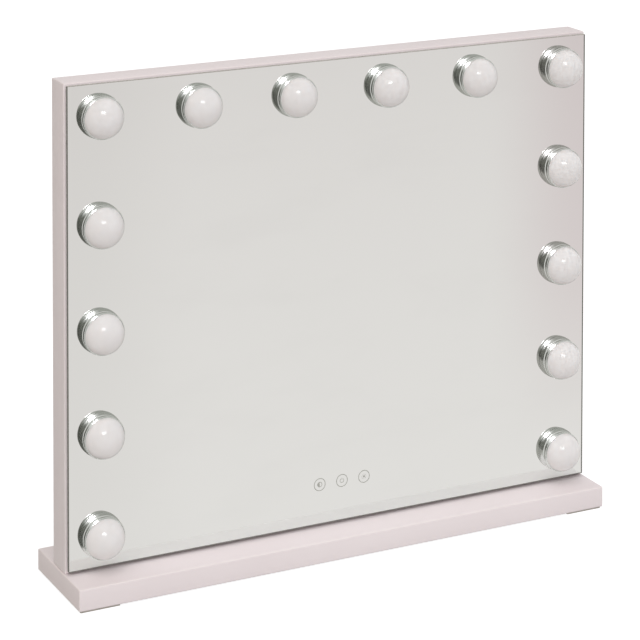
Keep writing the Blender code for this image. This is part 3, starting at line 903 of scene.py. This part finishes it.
def collar_mesh():
    """The bulb's cap: a beaded bezel round the globe, a grooved neck, a dished black back and its
    pin, with a black ring between the pin's two contacts."""
    seat = GLOBE_RIM - GAP
    inner = GLOBE_RADIUS + GAP
    lip = math.degrees(math.asin((COLLAR_FRONT - GLOBE_CENTRE) / inner))
    bezel = [(0.0, seat), (inner, seat)] + arc(GLOBE_CENTRE, inner, 0.0, lip, 4)
    bead = COLLAR_RADIUS - BEAD_STEP
    bezel += rounded([
        bezel[-1],
        (bead, COLLAR_FRONT, SOFT),
        (bead, COLLAR_FRONT - BEAD_LENGTH, CRISP),
        (COLLAR_RADIUS, COLLAR_FRONT - BEAD_LENGTH - BEAD_STEP, SOFT),
        (COLLAR_RADIUS, COLLAR_BACK, 2 * SOFT),
        (NECK_RADIUS, COLLAR_BACK),
    ])[1:]
    groove = NECK_RADIUS - GROOVE_DEPTH
    foot = NECK_RADIUS - NECK_CHAMFER
    neck = rounded([
        (NECK_RADIUS, COLLAR_BACK),
        (NECK_RADIUS, GROOVE_FRONT),
        (groove, GROOVE_FRONT - GROOVE_SLOPE, CRISP),
        (groove, GROOVE_BACK + GROOVE_SLOPE, CRISP),
        (NECK_RADIUS, GROOVE_BACK),
        (NECK_RADIUS, NECK_BACK + NECK_CHAMFER),
        (foot, NECK_BACK),
    ])
    dish = NECK_BACK + DISH_DEPTH
    back = rounded([
        (foot, NECK_BACK),
        (DISH_OUTER, NECK_BACK, CRISP),
        (DISH_OUTER - DISH_SLOPE, dish, CRISP),
        (DISH_INNER + DISH_SLOPE, dish, CRISP),
        (DISH_INNER, NECK_BACK, CRISP),
        (PIN_RADIUS, NECK_BACK),
    ])
    pin = [(PIN_RADIUS, NECK_BACK), (PIN_RADIUS, PIN_RING_FRONT)]
    ring = [(PIN_RADIUS, PIN_RING_FRONT), (PIN_RADIUS, PIN_RING_BACK)]
    tip = rounded([(PIN_RADIUS, PIN_RING_BACK), (PIN_RADIUS, PIN_TIP, PIN_TIP_ROUND), (0.0, PIN_TIP)])
    sections = [(CHROME, bezel), (CHROME, neck), (BLACK, back), (NICKEL, pin), (BLACK, ring), (NICKEL, tip)]
    return lathe("collar", sections, 72)


def cup_wall():
    """The cup's outer side, slightly crowned between its back and front radii."""
    points = []
    steps = 8
    start = CUP_FRONT - CUP_LIP
    flare = CUP_BACK_RADIUS - CUP_FRONT_RADIUS
    for step in range(steps + 1):
        along = step / steps
        radius = CUP_FRONT_RADIUS + flare * math.sin(along * math.pi / 2)
        points.append((radius, start - along * (start - CUP_FOOT)))
    return points


def barrel_thread():
    """The barrel from the back of its cup to its tapered end, on the axis."""
    points = [(BARREL_RADIUS, GAP)]
    root = BARREL_RADIUS - THREAD_DEPTH
    for turn in range(int((GAP - BARREL_END) / THREAD_PITCH) - 1):
        top = THREAD_START - turn * THREAD_PITCH
        points += [(BARREL_RADIUS, top), (root, top - THREAD_PITCH / 2)]
    return points + [(root, BARREL_END + THREAD_DEPTH), (BARREL_TIP_RADIUS, BARREL_END), (0.0, BARREL_END)]


def cup_mesh():
    """A chrome cup on the glass with a black contact floor, and its threaded barrel behind."""
    wall = NECK_RADIUS + GAP
    bore = [(0.0, BORE_END), (BORE_RADIUS, BORE_END), (BORE_RADIUS, CUP_FLOOR)]
    contact = [(BORE_RADIUS, CUP_FLOOR), (CONTACT_RADIUS, CUP_FLOOR)]
    well = CUP_FLOOR - WELL_DEPTH
    floor = rounded([
        (CONTACT_RADIUS, CUP_FLOOR),
        (CONTACT_RADIUS + WELL_SLOPE, well),
        (WELL_RADIUS - WELL_SLOPE, well, CRISP),
        (WELL_RADIUS, CUP_FLOOR),
        (wall, CUP_FLOOR),
    ])
    inside = rounded([(wall, CUP_FLOOR), (wall, CUP_FRONT, CUP_LIP), (CUP_FRONT_RADIUS, CUP_FRONT)])
    chamfer = 0.0001
    side = cup_wall()
    rim = [(CUP_FRONT_RADIUS, CUP_FRONT), (CUP_FRONT_RADIUS + chamfer, CUP_FRONT - chamfer)] + side
    foot = rounded([side[-1], (CUP_BACK_RADIUS, GAP, SOFT), (BARREL_RADIUS, GAP)])
    sections = [(BLACK, bore), (NICKEL, contact), (BLACK, floor), (CHROME, inside), (CHROME, rim),
                (CHROME, foot), (CHROME, barrel_thread())]
    return lathe("cup", sections, 72)


def make_bulbs():
    """Fourteen bulbs in their sockets. The mirror shows the cups, but not the globes and collars."""
    globe, collar, cup = globe_mesh(), collar_mesh(), cup_mesh()
    for bulb, seat in bulb_seats():
        body = "bulb_" + bulb
        unmirrored = [
            piece("opal_globe_" + bulb, globe, body, "opal_globe", "globe_" + bulb, at=seat),
            piece("chrome_collar_" + bulb, collar, body, "chrome", "bulb_cap_" + bulb, at=seat),
        ]
        piece("chrome_cup_" + bulb, cup, STAND, "chrome", "socket_" + bulb, at=seat)
        for made in unmirrored:
            made.visible_glossy = False


# ---- Electrics --------------------------------------------------------------------------------


def jack_place():
    """Where the jack's axis meets the outside of the back panel."""
    low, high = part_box("power_jack")
    _, panel_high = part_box("back_panel")
    middle = (low + high) / 2
    return Vector((middle.x, panel_high.y, middle.z))


def make_jack():
    """A flanged power jack with a contact pin in its bore."""
    contact = rounded([
        (0.0, JACK_CONTACT_FRONT),
        (JACK_CONTACT_RADIUS, JACK_CONTACT_FRONT, JACK_CONTACT_RADIUS / 2),
        (JACK_CONTACT_RADIUS, JACK_BORE_END),
    ])
    sleeve = rounded([
        (JACK_CONTACT_RADIUS, JACK_BORE_END),
        (BORE_RADIUS, JACK_BORE_END),
        (BORE_RADIUS, JACK_REACH, 2 * CRISP),
        (JACK_FLANGE, JACK_REACH, JACK_FLANGE_ROUND),
        (JACK_FLANGE, GAP, CRISP),
        (BARREL_RADIUS, GAP),
        (BARREL_RADIUS, JACK_END, 2 * CRISP),
        (0.0, JACK_END),
    ])
    data = lathe("jack", [(NICKEL, contact), (BLACK, sleeve)], 48, TO_BACK)
    piece("flanged_jack", data, STAND, "black_plastic", "power_jack", at=jack_place())


def paint_hidden_nodes():
    """CAD nodes inside the case keep their shape and get a finished material."""
    finishes = {
        "mirror_tape": foam("tape_foam", (0.05, 0.05, 0.05), (0.14, 0.14, 0.135)),
        "touch_board": circuit_board(),
        "wiring_harness": cable_sheath(),
    }
    for node, finish in finishes.items():
        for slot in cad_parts[node].material_slots:
            slot.material = finish


# ---- Studio -----------------------------------------------------------------------------------


def surroundings(t):
    """What a glossy ray finds after a second reflection: a dim room, darker on the left, with the
    key light's soft panel in it."""
    direction = t.add("VectorMath", {0: t.add("NewGeometry", output="Incoming"), "Scale": -1.0},
                      operation="SCALE")
    side = t.ramp(t.part(direction, "X"), -0.55, 0.0)
    room = t.mix(side, (0.135, 0.145, 0.12), (0.40, 0.42, 0.38))
    match = t.add("VectorMath", {0: direction, 1: GLINT_DIRECTION}, output="Value", operation="DOT_PRODUCT")
    panel = t.ramp(match, math.cos(math.radians(PANEL_OUTER)), math.cos(math.radians(PANEL_INNER)))
    return t.mix(panel, room, (1.02, 1.06, 1.02))


def make_world():
    """White to the camera, a pale room in the mirror, and an even fill that is warmer on the left."""
    world = bpy.data.worlds.new("studio")
    bpy.context.scene.world = world
    t = Tree(world)
    glossy = t.mix(t.deep(), PALE_ROOM, surroundings(t))
    toward = t.add("NewGeometry", output="Incoming")
    left = t.ramp(t.part(toward, "X"), -0.2, 0.9)
    fill = t.mix(left, (FILL, FILL, FILL), (0.79 * FILL, 0.69 * FILL, 0.57 * FILL))
    light = t.mix(t.light_path("Is Glossy Ray"), fill, glossy)
    shown = t.mix(t.light_path("Is Camera Ray"), light, (1.0, 1.0, 1.0))
    t.output("World", t.add("Background", {"Color": shown}))
    world.cycles.sampling_method = "NONE"


def make_floor():
    """A pale floor that reads as white, darkens under the base, and dims with distance when it is
    seen in the mirror."""
    half = FLOOR_SIDE / 2
    data = box("floor", (-half, -half, -FLOOR_THICKNESS), (half, half, 0.0))
    floor = bpy.data.objects.new("floor", data)
    bpy.context.scene.collection.objects.link(floor)
    made, t = material("floor")
    place = t.place()
    far = t.ramp(t.part(place, "Y"), -0.15, -2.4, smooth=False)
    seen = t.mix(far, (0.795, 0.797, 0.765), (0.722, 0.712, 0.685))
    seen = t.mix(t.ramp(t.part(place, "Y"), -2.6, -14.0), seen, PALE_ROOM)
    left = t.ramp(t.part(place, "X"), -0.35, -0.10)
    dim = t.mix(left, (0.10, 0.105, 0.09), (0.42, 0.43, 0.39))
    mirrored = t.add("Emission", {"Color": t.mix(t.deep(), seen, dim)})
    matte = t.add("BsdfDiffuse", {"Color": (0.56, 0.56, 0.56, 1.0)})
    soft = t.add("BsdfDiffuse", {"Color": (0.30, 0.30, 0.30, 1.0)})
    white = t.add("AddShader", {0: soft, 1: t.add("Emission", {"Color": (0.87, 0.87, 0.87, 1.0)})})
    lit = t.add("MixShader", {0: t.light_path("Is Glossy Ray"), 1: matte, 2: mirrored})
    t.output("Material", t.add("MixShader", {0: t.light_path("Is Camera Ray"), 1: lit, 2: white}))
    made.cycles.emission_sampling = "NONE"
    data.materials.append(made)


def aimed(made, direction, distance):
    """Stand a light off along a direction, facing back at the mirror."""
    middle = (cad_low + cad_high) / 2
    made.location = middle + direction * distance
    made.rotation_euler = direction.to_track_quat("Z", "Y").to_euler()
    bpy.context.scene.collection.objects.link(made)


def make_sun(name, strength, angle, direction):
    """A sun that lights the surfaces but isn't seen in reflections."""
    light = bpy.data.lights.new(name, "SUN")
    light.energy = strength
    light.angle = math.radians(angle)
    made = bpy.data.objects.new(name, light)
    made.visible_glossy = False
    aimed(made, direction, SUN_DISTANCE)


def make_glint():
    """A lamp that shows only as the glints on the globes, the chrome and the lacquer."""
    light = bpy.data.lights.new("glint", "AREA")
    light.shape = "RECTANGLE"
    light.size = 2 * GLINT_DISTANCE * math.tan(math.radians(GLINT_HALF_WIDTH))
    light.size_y = 2 * GLINT_DISTANCE * math.tan(math.radians(GLINT_HALF_HEIGHT))
    light.energy = GLINT_STRENGTH * math.pi * light.size * light.size_y
    made = bpy.data.objects.new("glint", light)
    made.visible_diffuse = False
    made.visible_camera = False
    aimed(made, GLINT_DIRECTION, GLINT_DISTANCE)


def make_camera():
    camera = bpy.data.objects.new("camera", bpy.data.cameras.new("camera"))
    mark = bpy.data.objects.new("camera_place", None)
    for made in (camera, mark):
        made.location = CAMERA_PLACE
        bpy.context.scene.collection.objects.link(made)
    aim = Matrix.Rotation(math.radians(-CAMERA_TURN), 3, "Z")
    aim = aim @ Matrix.Rotation(math.radians(90.0 - CAMERA_TILT), 3, "X")
    aim = aim @ Matrix.Rotation(math.radians(CAMERA_ROLL), 3, "Z")
    camera.rotation_euler = aim.to_euler()
    camera.data.lens = CAMERA_LENS
    camera.data.clip_end = 100.0
    # The lens shift holds only while the camera stands at its own place, so other views are centred.
    for shift, amount in CAMERA_SHIFT.items():
        driver = camera.data.driver_add(shift).driver
        driver.type = "SCRIPTED"
        away = driver.variables.new()
        away.name = "away"
        away.type = "LOC_DIFF"
        away.targets[0].id = camera
        away.targets[1].id = mark
        driver.expression = f"{amount} if away < 0.001 else 0.0"
    bpy.context.scene.camera = camera


# ---- Assembly ---------------------------------------------------------------------------------

make_base()
make_pads()
make_case()
make_back()
make_screws()
make_glass()
make_touch_marks()
make_bulbs()
make_jack()
paint_hidden_nodes()
make_world()
make_floor()
make_sun("key", KEY_STRENGTH, KEY_ANGLE, KEY_DIRECTION)
make_sun("rear", REAR_STRENGTH, REAR_ANGLE, REAR_DIRECTION)
make_glint()
make_camera()
bpy.context.scene.view_settings.view_transform = "Standard"
